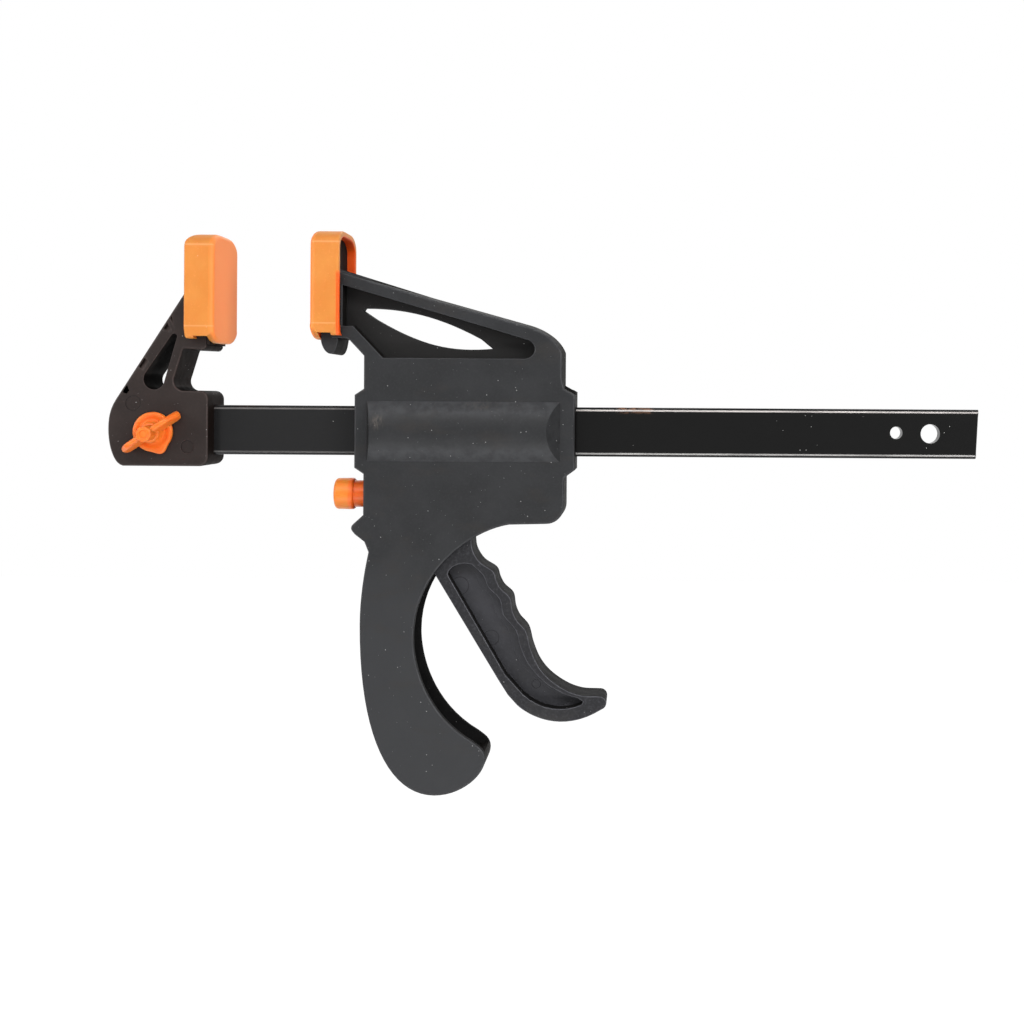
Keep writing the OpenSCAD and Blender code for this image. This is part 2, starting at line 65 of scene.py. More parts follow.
SCREWS = ((58.2, -30.4), (118.6, -30.4), (117.8, -75.4), (59.0, -87.6), (57.2, -126.0), (80.5, -176.4))

WIDE_ROUND = 0.9                 # radius of the mouldings' outer edges
RECESS_ROUND = 0.45              # round the arm's recess and the jaw's window
FINE_ROUND = 0.25                # round screw holes and marks, and along the bar

# ---- How a rim is rounded ----

CELLS_PER_MM = 2000              # points in the same small cell are made one
ROUND_STEPS = 4                  # strips across a round
LONGEST_PIECE = 1.5              # longest straight piece of a rounded rim
TOUCHING = 1e-3                  # heights closer than this count as one
SWELL = 0.002                    # how far the points cut into a rim bulge
FACES_OUT = 0.9                  # least cosine between a flat face's side and its triangles
SQUARE_WALL = 0.02               # largest cosine between a flat face's side and a square wall
LEAST_MITRE = 0.25               # keeps the step into a sharp corner short
DRAFT_SLOPE = 0.25               # largest change of the draft in a millimetre of rim
RADIUS_SLOPE = 0.6               # largest change of the radius in a millimetre of rim
ROOM_SHARE = 0.45                # most that a round takes of the wall's depth or the room ahead
AHEAD = 0.6                      # least cosine between the way in and what counts as ahead
LEAST_INSET = 0.08               # least share of a piece's length that the inset leaves
SHRINK = 0.8                     # what the radius is multiplied by where the inset rim turns back
DRAFT_SWEEPS = 40                # sweeps along the rim that even out the draft
RADIUS_SWEEPS = 80               # and the radius, at most


# ---- Meshes ----

def unit(v):
    """Vectors scaled to length one."""
    return v / np.maximum(np.linalg.norm(v, axis=-1, keepdims=True), 1e-9)


def grid_faces(rows, cols):
    """Triangles over a grid of rows x cols points whose last column joins the first."""
    r = np.arange(rows - 1)[:, None] * cols
    c = np.arange(cols)[None, :]
    d = (c + 1) % cols
    near = np.stack([r + c, r + d, r + cols + d], -1)
    far = np.stack([r + c, r + cols + d, r + cols + c], -1)
    return np.concatenate([near.reshape(-1, 3), far.reshape(-1, 3)])


def merged(points, tris):
    """Points in the same half micrometre made one, without the triangles that this closes up."""
    _, first, back = np.unique(np.round(points * CELLS_PER_MM).astype(np.int64), axis=0,
                               return_index=True, return_inverse=True)
    tris = back.reshape(-1)[tris]
    good = (tris != np.roll(tris, -1, 1)).all(1)
    return points[first], tris[good]


def place(name, points, tris, finish, body, replaced, sharp=35):
    """A smooth-shaded object from points in millimetres and triangles, riding on a body.

    It stands in for the replaced nodes, and its edges are sharp from sharp degrees on.
    """
    mesh = bpy.data.meshes.new(name)
    mesh.vertices.add(len(points))
    mesh.vertices.foreach_set("co", (points * MM).astype(np.float32).ravel())
    mesh.loops.add(3 * len(tris))
    mesh.loops.foreach_set("vertex_index", tris.astype(np.int32).ravel())
    mesh.polygons.add(len(tris))
    mesh.polygons.foreach_set("loop_start", np.arange(0, 3 * len(tris), 3, dtype=np.int32))
    mesh.update(calc_edges=True)
    mesh.validate()
    mesh.shade_smooth()
    mesh.set_sharp_from_angle(angle=math.radians(sharp))
    mesh.materials.append(finish)
    obj = bpy.data.objects.new(name, mesh)
    bpy.context.scene.collection.objects.link(obj)
    shading = obj.modifiers.new("Even shading", "WEIGHTED_NORMAL")
    shading.mode = "FACE_AREA_WITH_ANGLE"
    shading.keep_sharp = True
    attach(obj, body)
    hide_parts(*replaced)


def even(r):
    """The same r millimetres along a whole rim."""
    return lambda mid: np.full(len(mid), r)


def rim_of(points, tris, height, facing):
    """Which triangles lie flat at height 0 and face out, their rim's edges, and the wall beyond each edge.

    The edges are directed (a, b), with the flat face on their left; the wall is a triangle's number.
    """
    flat = (np.abs(height[tris]) < TOUCHING).all(1) & (facing > FACES_OUT)
    edges = tris[:, [0, 1, 1, 2, 2, 0]].reshape(-1, 2)
    owner = np.repeat(np.arange(len(tris)), 3)
    code = edges[:, 0] * len(points) + edges[:, 1]
    order = np.argsort(code)
    twin_code = edges[:, 1] * len(points) + edges[:, 0]
    twin = order[np.minimum(np.searchsorted(code[order], twin_code), len(order) - 1)]
    rim = flat[owner] & ~flat[owner[twin]]
    return flat, edges[rim], owner[twin][rim]


def split_rim(points, tris, edge, wall):
    """The rim's long edges cut into pieces, each wall triangle along one becoming a fan.

    Returns the points with the cuts, which triangles are kept, the fans, the pieces, and each piece's row
    in edge.
    """
    length = np.linalg.norm(points[edge[:, 1]] - points[edge[:, 0]], axis=1)
    parts = np.maximum(np.ceil(length / LONGEST_PIECE).astype(int), 1)
    row = np.repeat(np.arange(len(edge)), parts)
    step = np.arange(len(row)) - np.repeat(np.cumsum(parts) - parts, parts)
    inner = step > 0
    start, end = points[edge[row, 0]], points[edge[row, 1]]
    cut = start + (end - start) * (step / parts[row])[:, None]
    low = np.where(inner, 0, edge[row, 0])
    low[inner] = len(points) + np.arange(inner.sum())
    last = step == parts[row] - 1
    high = np.where(last, edge[row, 1], np.append(low[1:], 0))
    owner = tris[wall[row]]
    apex = owner.sum(1) - edge[row].sum(1)
    fans = np.stack([high, low, apex], 1)
    keep = np.ones(len(tris), bool)
    keep[wall] = False
    return np.concatenate([points, cut[inner]]), keep, fans, np.stack([low, high], 1), row


def mitres(points, edge, normal):
    """Each piece's direction, and the step at each point that moves its pieces 1 mm into the face."""
    along = unit(points[edge[:, 1]] - points[edge[:, 0]])
    across = np.cross(normal, along)
    first, second = np.zeros_like(points), np.zeros_like(points)
    first[edge[:, 1]] = across
    second[edge[:, 0]] = across
    return along, (first + second) / np.maximum(1 + (first * second).sum(1, keepdims=True), LEAST_MITRE)


def even_out(size, edge, step):
    """One sweep, in place, that lowers the size at each piece's end to its other end's plus the step."""
    np.minimum.at(size, edge[:, 1], size[edge[:, 0]] + step)
    np.minimum.at(size, edge[:, 0], size[edge[:, 1]] + step)


def leaned(points, edge, inward, draft):
    """The points with the rim moved inwards by its pieces' draft, evened out along the rim."""
    step = DRAFT_SLOPE * np.linalg.norm(points[edge[:, 1]] - points[edge[:, 0]], axis=1)
    lean = np.full(len(points), np.inf)
    np.minimum.at(lean, edge.ravel(), np.repeat(draft, 2))
    lean[~np.isfinite(lean)] = 0.0
    for _ in range(DRAFT_SWEEPS):
        even_out(lean, edge, step)
    return points + inward * lean[:, None]


def rim_radii(points, edge, along, inward, wanted, depth):
    """The round's radius at each rim vertex, in millimetres.

    It is the smaller one of its two pieces' wishes, and at most ROOM_SHARE of the wall's depth and of the
    room ahead. It is evened out along the rim, shrinks where the inset rim would turn back on itself, and
    is 0 at a point that the rim passes more than once.
    """
    count = len(points)
    size = np.full(count, np.inf)
    np.minimum.at(size, edge.ravel(), np.repeat(np.minimum(wanted, ROOM_SHARE * depth), 2))
    size[np.bincount(edge[:, 0], minlength=count) > 1] = 0.0
    a, b = points[edge[:, 0]], points[edge[:, 1]]
    span = b - a
    square_length = np.maximum((span * span).sum(1), 1e-12)
    length = np.sqrt(square_length)
    rim = np.unique(edge)
    live = rim[size[rim] > 0]
    spot = points[live][:, None]
    t = np.clip(((spot - a) * span).sum(2) / square_length, 0, 1)
    gap = a + span * t[..., None] - spot
    far = np.linalg.norm(gap, axis=2)
    ahead = ((gap * inward[live][:, None]).sum(2) > AHEAD * far) & (far > TOUCHING)
    size[live] = np.minimum(size[live], ROOM_SHARE * np.where(ahead, far, np.inf).min(1))
    for _ in range(RADIUS_SWEEPS):
        even_out(size, edge, RADIUS_SLOPE * length)
        inset_a = a + inward[edge[:, 0]] * size[edge[:, 0], None]
        inset_b = b + inward[edge[:, 1]] * size[edge[:, 1], None]
        turned = ((inset_b - inset_a) * along).sum(1) < LEAST_INSET * length
        if not turned.any():
            break
        size[edge[turned].ravel()] *= SHRINK
    return np.where(np.isfinite(size), size, 0.0)


def inside(places, start, end):
    """Even-odd test of 2-D places against the edges from start to end."""
    x, y = places[:, 0:1], places[:, 1:2]
    x0, y0, x1, y1 = start[:, 0], start[:, 1], end[:, 0], end[:, 1]
    crosses = (y0 > y) != (y1 > y)
    rise = np.where(np.abs(y1 - y0) < 1e-12, 1e-12, y1 - y0)
    return (crosses & (x < x0 + (y - y0) * (x1 - x0) / rise)).sum(1) % 2 == 1


def flat_cap(ring, edge, axis, level, normal):
    """The flat face inside a closed ring's edges: its points at level, and its triangles along normal."""
    plane = [i for i in range(3) if i != axis]
    ring = ring[:, plane]
    used, back = np.unique(edge, return_inverse=True)
    found = delaunay_2d_cdt(ring[used].tolist(), back.reshape(-1, 2).tolist(), [], 0, 1e-6)
    places, cap = np.array(found[0]), np.array(found[2])
    places[:len(used)] = ring[used]
    cap = cap[inside(places[cap].mean(1), ring[edge[:, 0]], ring[edge[:, 1]])]
    points = np.full((len(places), 3), float(level))
    points[:, plane] = places
    corner = points[cap]
    wrong = np.cross(corner[:, 1] - corner[:, 0], corner[:, 2] - corner[:, 0]) @ normal < 0
    cap[wrong] = cap[wrong][:, ::-1]
    return points, cap


def round_face(points, tris, axis, level, side, radius, draft=even(0.0)):
    """The rim of the flat face at level on an axis, facing side, rounded where its walls are square to it.

    Ring k of the round's n = ROUND_STEPS steps has the angle t = 90 k / n degrees: it lies
    d + r (1 - cos t) inside the rim and r (1 - sin t) below the face, d being the wall's draft there. The
    face inside the last ring is triangulated again; the points cut into the rim swell by SWELL k / n, so
    that none of its triangles is a mere line.
    """
    normal = np.zeros(3)
    normal[axis] = side
    height = (points[:, axis] - level) * side
    corner = points[tris]
    facing = unit(np.cross(corner[:, 1] - corner[:, 0], corner[:, 2] - corner[:, 0])) @ normal
    flat, edge, wall = rim_of(points, tris, height, facing)
    drop = height[tris[wall]].min(1)
    square = ((np.abs(facing[wall]) < SQUARE_WALL) & (drop < -TOUCHING)
              & (height[tris[wall]].max(1) < TOUCHING))
    whole = len(points)
    points, keep, fans, edge, row = split_rim(points, tris, edge, wall)
    square, drop = square[row], drop[row]
    middle = points[edge].mean(1)
    along, inward = mitres(points, edge, normal)
    points = leaned(points, edge, inward, np.where(square, draft(middle), 0.0))
    r = rim_radii(points, edge, along, inward, np.where(square, radius(middle), 0.0),
                  np.where(drop < -TOUCHING, -drop, 0.0))[:, None]

    swell = np.where(np.arange(len(points)) < whole, 0.0, SWELL)[:, None]
    rings = []
    for k in range(ROUND_STEPS + 1):
        t = math.radians(90 * k / ROUND_STEPS)
        inset = r * (1 - math.cos(t)) - swell * k / ROUND_STEPS
        rings.append(points + inward * inset - normal * r * (1 - math.sin(t)))
    count = len(points)
    strips = []
    for k in range(ROUND_STEPS):
        low, high = edge + k * count, edge + (k + 1) * count
        strips += [np.stack([low[:, 0], low[:, 1], high[:, 1]], 1),
                   np.stack([low[:, 0], high[:, 1], high[:, 0]], 1)]
    cap_points, cap = flat_cap(rings[-1], edge, axis, level, normal)
    return merged(np.concatenate(rings + [cap_points]),
                  np.concatenate([tris[keep & ~flat], fans] + strips + [cap + (ROUND_STEPS + 1) * count]))


def rounded(node, finish, body, faces, shape=None):
    """A merged copy of a CAD node with the rims of its named flat faces rounded.

    Each face is (axis, level, side, radius) or (axis, level, side, radius, draft), where radius and draft
    give millimetres for the rim's midpoints. shape may move the points at the end.
    """
    source = NODES[node].data
    source.calc_loop_triangles()
    points = np.empty(3 * len(source.vertices), np.float32)
    source.vertices.foreach_get("co", points)
    tris = np.empty(3 * len(source.loop_triangles), np.int32)
    source.loop_triangles.foreach_get("vertices", tris)
    points, tris = merged(points.reshape(-1, 3).astype(float) / MM, tris.reshape(-1, 3).astype(np.int64))
    for face in faces:
        points, tris = round_face(points, tris, *face)
    if shape:
        points = shape(points)
    place(node + "_rounded", points, tris, finish, body, (node,))


# ---- Finishes ----

FULL_SHARE = 0.3                 # share of a soft spot's or line's reach that is full


class Finish:
    """A material's node tree; each call adds one node and gives its output."""

    def __init__(self, name):
        self.material = bpy.data.materials.new(name)
        self.material.use_nodes = True
        self.tree = self.material.node_tree
        self.tree.nodes.clear()
        self.place = self.add("TexCoord", 3)

    def add(self, kind, out=0, sockets=None, **settings):
        """One shader node: settings are its properties, sockets its inputs by name or number."""
        node = self.tree.nodes.new("ShaderNode" + kind)
        for key, value in settings.items():
            setattr(node, key, value)
        for key, value in (sockets or {}).items():
            if isinstance(value, bpy.types.NodeSocket):
                self.tree.links.new(value, node.inputs[key])
            else:
                node.inputs[key].default_value = value
        return node.outputs[out]

    def noise(self, size_mm, detail, rough, vector=None):
        """Soft noise from 0 to 1 with blobs about size_mm wide."""
        return self.add("TexNoise", 0, {"Vector": vector or self.place, "Scale": 1 / (size_mm * MM),
                                        "Detail": detail, "Roughness": rough})

    def step(self, value, low, high, to_low=0.0, to_high=1.0):
        """A smooth step of value between low and high."""
        return self.add("MapRange", 0, {0: value, 1: low, 2: high, 3: to_low, 4: to_high},
                        interpolation_type="SMOOTHSTEP")

    def sum(self, a, b):
        return self.add("Math", 0, {0: a, 1: b}, operation="ADD")

    def times(self, a, b):
        return self.add("Math", 0, {0: a, 1: b}, operation="MULTIPLY")

    def larger(self, a, b):
        return self.add("Math", 0, {0: a, 1: b}, operation="MAXIMUM")

    def less(self, a, b):
        return self.add("Math", 0, {0: a, 1: b}, operation="SUBTRACT")

    def plain(self, value):
        """A value without its sign."""
        return self.add("Math", 0, {0: value}, operation="ABSOLUTE")

    def mix(self, share, a, b):
        """Colour a turning into colour b by share."""
        return self.add("Mix", 2, {0: share, 6: a, 7: b}, data_type="RGBA")

    def over(self, colour, tone, share, strength):
        """A colour with a tone over it: strength of the tone where share is 1, none where it is 0."""
        return self.mix(self.times(share, strength), colour, tone)

    def stretched(self, scale):
        """Object coordinates stretched by scale along each axis."""
        return self.add("Mapping", 0, {"Vector": self.place, "Scale": scale})

    def axis(self, name):
        """One object coordinate, in metres."""
        return self.add("SeparateXYZ", "XYZ".index(name), {0: self.place})

    def near(self, centre_mm, reach_mm):
        """1 at centre_mm, falling to 0 on the ellipsoid of half sizes reach_mm."""
        inverse = [1 / (r * MM) for r in reach_mm]
        shifted = self.add("Mapping", 0, {"Vector": self.place,
                                          "Location": [-c * MM * k for c, k in zip(centre_mm, inverse)],
                                          "Scale": inverse})
        return self.step(self.add("VectorMath", 1, {0: shifted}, operation="LENGTH"), 1.0, FULL_SHARE)

    def ring(self, centre_mm, radius_mm, half_mm):
        """1 on a circle in the XZ plane round centre_mm, half_mm wide each side."""
        flat = self.add("Mapping", 0, {"Vector": self.place, "Scale": (1, 0, 1),
                                       "Location": (-centre_mm[0] * MM, 0, -centre_mm[1] * MM)})
        far = self.add("VectorMath", 1, {0: flat}, operation="LENGTH")
        off = self.plain(self.sum(far, -radius_mm * MM))
        return self.step(off, half_mm * MM, FULL_SHARE * half_mm * MM)

    def specks(self, spacing_mm, radius_mm, share):
        """Round specks: balls round a share of a Voronoi pattern's points, where they meet the surface."""
        cells = {"Vector": self.place, "Scale": 1 / (spacing_mm * MM)}
        far = self.add("TexVoronoi", 0, cells)
        pick = self.add("SeparateColor", 0, {0: self.add("TexVoronoi", 1, cells)})
        edge = radius_mm / spacing_mm
        chosen = self.add("Math", 0, {0: pick, 1: share}, operation="LESS_THAN")
        return self.times(self.step(far, edge, 0.5 * edge), chosen)

    def facing(self, centre_mm, reach_mm):
        """1 on walls that face centre_mm within the ellipsoid of half sizes reach_mm round it, else 0."""
        ahead = self.add("VectorMath", 0, {0: tuple(c * MM for c in centre_mm), 1: self.place},
                         operation="SUBTRACT")
        ahead = self.add("VectorMath", 0, {0: ahead}, operation="NORMALIZE")
        normal = self.add("TexCoord", 1)
        cosine = self.add("VectorMath", 1, {0: ahead, 1: normal}, operation="DOT_PRODUCT")
        return self.times(self.step(cosine, 0.1, 0.45), self.near(centre_mm, reach_mm))

    def across(self):
        """The surface normal's part across the clamp, from -1 on the near side to 1 on the far one."""
        return self.add("SeparateXYZ", 1, {0: self.add("TexCoord", 1)})

    def squareness(self):
        """1 where the surface looks straight across the clamp, 0 on its side walls."""
        return self.plain(self.across())

    def depth(self):
        """How far a point lies from the clamp's middle plane, in metres."""
        return self.plain(self.axis("Y"))

    def bump(self, height, depth_mm, base=None):
        """A bump of depth_mm for a height from 0 to 1, on top of base."""
        sockets = {"Height": height, "Strength": 1.0, "Distance": depth_mm * MM}
        if base is not None:
            sockets["Normal"] = base
        return self.add("Bump", 0, sockets)

    def shown(self, shader):
        """The finished material with this shader as its surface."""
        output = self.tree.nodes.new("ShaderNodeOutputMaterial")
        self.tree.links.new(shader, output.inputs["Surface"])
        return self.material

    def surface(self, **sockets):
        """The finished material with one Principled shader."""
        named = {key.replace("_", " "): value for key, value in sockets.items()}
        return self.shown(self.add("BsdfPrincipled", 0, named))


def rgb(r, g, b):
    """An opaque colour."""
    return (r, g, b, 1.0)


def tint(colour, k):
    """A colour times k, each part at most 1."""
    return rgb(*(min(c * k, 1.0) for c in colour[:3]))


def nylon(name, base, brown, recess_shade_mm=0.0, rim_shade_mm=0.0, handled_z=0.0, rings=(), scuffs=(), dark=(),
          steps=()):
    """Black moulded nylon: spark-textured grain, cloudy tone, brownish rubbed areas, dust specks.

    Painted shade darkens the side walls, the recesses nearer than recess_shade_mm to the clamp's middle,
    and the sides farther out than rim_shade_mm. A painted highlight makes the edges between a little
    lighter; the grip below handled_z is rubbed a little lighter. Painted shade makes nearly black the
    walls that face the given shaded places, the surfaces that face the clamp's middle plane and the
    walls of steps, each step being given by the depths it runs between.
    """
    f = Finish(name)
    colour = f.mix(f.step(f.noise(14, 3, 0.6), 0.35, 0.7), tint(base, 0.88), tint(base, 1.12))
    if handled_z:
        hand = f.step(f.axis("Z"), (handled_z + 12) * MM, (handled_z - 12) * MM)
        colour = f.over(colour, tint(base, 1.65), hand, 0.6)
    if rim_shade_mm:
        # Painted shade: the trigger's proud rim is darkened, so the shaded web inside it looks no darker.
        rim_shade = f.step(f.depth(), (rim_shade_mm - 0.3) * MM, (rim_shade_mm + 0.3) * MM)
        colour = f.over(colour, tint(base, 0.3), rim_shade, 0.85)
    fine = f.step(f.noise(0.9, 3, 0.6), 0.45, 0.75)
    colour = f.over(colour, tint(base, 1.45), fine, 0.35)
    rub = f.step(f.noise(9, 4, 0.65, f.stretched((0.5, 1, 1))), 0.52, 0.72)
    colour = f.over(colour, brown, rub, 0.35)
    square = f.squareness()
    # Painted highlight: the rounded edges between broad sides and side walls are lightened in patches.
    edge_highlight = f.times(f.step(square, 0.97, 0.86), f.step(square, 0.3, 0.6))
    patchy = f.step(f.noise(4, 4, 0.65), 0.3, 0.65, 0.4, 1.0)
    colour = f.over(colour, tint(base, 2.8), f.times(edge_highlight, patchy), 0.7)
    # Painted shade: the walls of each step between the given depths are made nearly black.
    for low, high in steps:
        past_low = f.step(f.depth(), (low - 0.1) * MM, low * MM)
        before_high = f.step(f.depth(), (high + 0.1) * MM, high * MM)
        colour = f.over(colour, tint(base, 0.1), f.times(past_low, before_high), 0.85)
    # Painted shade: the side walls are darkened.
    colour = f.over(colour, tint(brown, 0.22), f.step(square, 0.45, 0.15), 0.85)
    # Painted shade: recesses nearer than the given depth to the clamp's middle are darkened.
    if recess_shade_mm:
        recess_shade = f.step(f.depth(), recess_shade_mm * MM, (recess_shade_mm - 1.2) * MM)
        colour = f.over(colour, tint(brown, 0.25), recess_shade, 0.72)
    # Painted shade: surfaces that face the clamp's middle plane are made nearly black.
    inwards = f.step(f.times(f.axis("Y"), f.across()), -0.5 * MM, -3 * MM)
    colour = f.over(colour, tint(brown, 0.08), inwards, 0.85)
    shine = f.step(square, 0.15, 0.6, 0.01, 0.16)
    # Painted shade: walls facing each given place, such as the barrel cap and the jaw window, go nearly
    # black with less shine.
    for centre, reach, strength in dark:
        shade = f.times(f.facing(centre, reach), strength)
        colour = f.mix(shade, colour, tint(brown, 0.06))
        shine = f.times(shine, f.step(shade, 0.0, 1.0, 1.0, 0.2))
    for centre, reach, strength in scuffs:
        streak = f.step(f.noise(1.6, 4, 0.7, f.stretched((1.6, 1, 0.45))), 0.42, 0.66)
        colour = f.over(colour, tint(brown, 2.4), f.times(f.near(centre, reach), streak), strength)
    dust = f.larger(f.specks(2.1, 0.2, 0.2), f.times(f.specks(1.3, 0.12, 0.25), 0.5))
    colour = f.over(colour, rgb(0.42, 0.42, 0.42), dust, 0.8)
    grain = f.bump(f.noise(0.28, 2, 0.55), 0.012)
    grain = f.bump(f.noise(5, 2, 0.5), 0.04, grain)
    for centre, radius in rings:
        mark = f.ring(centre, radius, 0.26)
        colour = f.over(colour, tint(base, 0.3), mark, 0.6)
        grain = f.bump(f.times(mark, -1.0), 0.04, grain)
    rough = f.step(f.noise(3, 3, 0.6), 0.3, 0.7, 0.42, 0.52)
    return f.surface(Base_Color=colour, Roughness=rough, Normal=grain, Specular_IOR_Level=shine)


def bar_paint():
    """Semi-gloss black paint, greyer towards the fixed jaw: faint ripple, fine scratches, dust specks.

    Rust sits on the top edge near the free end. A broken painted highlight line, standing in for the
    glint of the rounded edges, runs inside the upper and lower edges and fades towards the fixed jaw.
    """
    f = Finish("bar_paint")
    x, z = f.axis("X"), f.axis("Z")
    scratch = f.step(f.noise(0.5, 4, 0.7, f.stretched((0.06, 1, 1))), 0.64, 0.72)
    paint = f.mix(f.step(x, 30 * MM, 120 * MM), rgb(0.0155, 0.0155, 0.016), rgb(0.0055, 0.0055, 0.0055))
    colour = f.over(paint, rgb(0.04, 0.038, 0.035), scratch, 0.25)
    colour = f.over(colour, rgb(0.45, 0.45, 0.43), f.specks(2.1, 0.2, 0.16), 0.8)
    along = f.times(f.step(x, 142.5 * MM, 145 * MM), f.step(x, 157.5 * MM, 155 * MM))
    edge = f.step(z, (BAR_Z + 6.3) * MM, (BAR_Z + 8.5) * MM)
    flake = f.step(f.noise(1.1, 5, 0.75, f.stretched((0.45, 1, 1.3))), 0.47, 0.53)
    rust = f.times(f.times(along, edge), flake)
    rust_tone = f.mix(f.noise(0.6, 3, 0.6), rgb(0.08, 0.035, 0.02), rgb(0.3, 0.16, 0.1))
    colour = f.mix(rust, colour, rust_tone)
    # Painted highlight: a broken light line inside the upper and lower edges, for the glint of the rounded
    # edges.
    off = f.plain(f.sum(z, -BAR_Z * MM))
    line = f.times(f.step(off, 7.45 * MM, 7.75 * MM), f.step(off, 8.3 * MM, 8.0 * MM))
    broken = f.step(f.noise(3, 4, 0.65, f.stretched((0.12, 1, 1))), 0.25, 0.6, 0.45, 1.0)
    free_end = f.step(x, 50 * MM, 110 * MM, 0.2, 1.0)
    line = f.times(f.times(line, f.step(f.squareness(), 0.4, 0.6)), f.times(broken, free_end))
    upper = f.step(z, (BAR_Z - 2) * MM, (BAR_Z + 2) * MM)
    colour = f.mix(line, colour, f.mix(upper, rgb(0.44, 0.43, 0.42), rgb(0.6, 0.56, 0.54)))
    rough = f.sum(f.step(f.noise(6, 3, 0.6), 0.3, 0.7, 0.16, 0.24), f.times(rust, 0.5))
    normal = f.bump(f.noise(7, 2, 0.5, f.stretched((0.5, 1, 1))), 0.02)
    normal = f.bump(f.noise(0.3, 2, 0.5), 0.002, normal)
    return f.surface(Base_Color=colour, Roughness=rough, Normal=normal, Specular_IOR_Level=0.12)


def pad_rubber():
    """Soft orange rubber: light matt skin, pinker clamping faces, faint flow marks.

    Painted shade and bounced red light make the pocket for the jaw's plate and the moving pad's back
    edge beside the arm a deeper red, and the clamping faces are painted brighter as if lit from the
    right. A thin painted highlight line marks where the flat sides turn into the corners, 14.5 mm above
    and below each pad's middle height: 0.7 on the fixed pad and 2.0 on the moving one, which sits higher.
    """
    f = Finish("pad_rubber")
    x, z = f.axis("X"), f.axis("Z")
    tone = f.mix(f.step(f.noise(12, 3, 0.6), 0.3, 0.7), rgb(0.66, 0.222, 0.033), rgb(0.69, 0.255, 0.044))
    # Clamping faces: pinker, and painted brighter as if lit from the right.
    face = f.times(f.step(x, -2.2 * MM, -0.2 * MM), f.step(x, (JAW_GAP + 2.2) * MM, (JAW_GAP + 0.2) * MM))
    tone = f.mix(face, tone, rgb(1.0, 0.285, 0.055))
    # Painted highlight: a thin light line where the flat sides turn into the corners.
    middle = f.step(x, 10 * MM, 20 * MM, 0.7 * MM, 2.0 * MM)
    off = f.plain(f.sum(f.plain(f.less(z, middle)), -14.5 * MM))
    line = f.times(f.step(off, 0.4 * MM, 0.1 * MM), f.step(f.depth(), 13.5 * MM, 14.5 * MM))
    tone = f.over(tone, rgb(1.0, 0.6, 0.3), line, 0.22)
    # Painted shade and bounced red light: walls facing the pockets, and the moving pad's back edge, go
    # deeper red.
    reach = (40, 45, 70)
    pocket = f.larger(f.facing((JAW_GAP + 12, 0, 1.5), reach), f.facing((-12, 0, 0.5), reach))
    edge = f.times(f.step(x, (JAW_GAP + 9.2) * MM, (JAW_GAP + 9.8) * MM), f.step(z, 6.8 * MM, 4.8 * MM))
    tone = f.mix(f.larger(pocket, edge), tone, rgb(1.0, 0.11, 0.006))
    tone = f.over(tone, rgb(0.95, 0.38, 0.12), f.step(f.noise(0.8, 3, 0.6), 0.55, 0.8), 0.25)
    tone = f.over(tone, rgb(0.95, 0.6, 0.4), f.specks(3.0, 0.2, 0.2), 0.7)
    normal = f.bump(f.noise(0.35, 2, 0.5), 0.006)
    normal = f.bump(f.noise(6, 2, 0.5), 0.05, normal)
    return f.surface(Base_Color=tone, Roughness=0.5, Normal=normal, Specular_IOR_Level=0.35,
                     Subsurface_Weight=0.3, Subsurface_Scale=0.003,
                     Subsurface_Radius=(1.0, 0.4, 0.2))


def orange_plastic():
    """Deep orange moulded plastic: satin skin with slight sink waves and a few pale rubs.

    The release button's head, up to head_back, is a little yellower, and its shank a little redder.
    """
    f = Finish("orange_plastic")
    x, head_back = f.axis("X"), 46.5
    tone = f.mix(f.step(f.noise(4, 3, 0.6), 0.3, 0.7), rgb(0.88, 0.17, 0.018), rgb(0.9, 0.215, 0.028))
    tone = f.over(tone, rgb(0.92, 0.32, 0.11), f.step(f.noise(0.7, 3, 0.6), 0.6, 0.8), 0.3)
    shank = f.step(x, (head_back - 1) * MM, (head_back + 1) * MM)
    tone = f.mix(shank, tone, rgb(0.87, 0.15, 0.018))
    head = f.times(f.step(x, 30 * MM, 35 * MM), f.step(x, head_back * MM, (head_back - 1) * MM))
    tone = f.mix(head, tone, rgb(0.8, 0.235, 0.03))
    normal = f.bump(f.noise(2.4, 2, 0.5), 0.02)
    normal = f.bump(f.noise(0.25, 2, 0.5), 0.003, normal)
    rough = f.step(f.noise(2, 3, 0.6), 0.3, 0.7, 0.3, 0.42)
    return f.surface(Base_Color=tone, Roughness=rough, Normal=normal, Specular_IOR_Level=0.3,
                     Subsurface_Weight=0.4, Subsurface_Scale=0.003,
                     Subsurface_Radius=(1.0, 0.35, 0.15))


def steel(name, light, dark, rough_low, rough_high, lines):
    """Bare or plated steel: cloudy tone with fine lines along the axis for which lines is small."""
    f = Finish(name)
    brushed = f.noise(0.25, 4, 0.6, f.stretched(lines))
    colour = f.mix(f.step(f.noise(5, 4, 0.6), 0.3, 0.7), dark, light)
    colour = f.over(colour, tint(dark, 0.7), f.step(brushed, 0.4, 0.7), 0.3)
    rough = f.step(brushed, 0.3, 0.7, rough_low, rough_high)
    normal = f.bump(brushed, 0.004)
    return f.surface(Base_Color=colour, Roughness=rough, Metallic=1.0, Normal=normal)


# Ejector marks: centre in x and z, radius.
TRIGGER_RINGS = [((86.6, -107.3), 3.15), ((98.1, -126.2), 2.75), ((114.6, -142.9), 1.6)]
JAW_RINGS = [(JAW_MARKS[1], 2.65)]

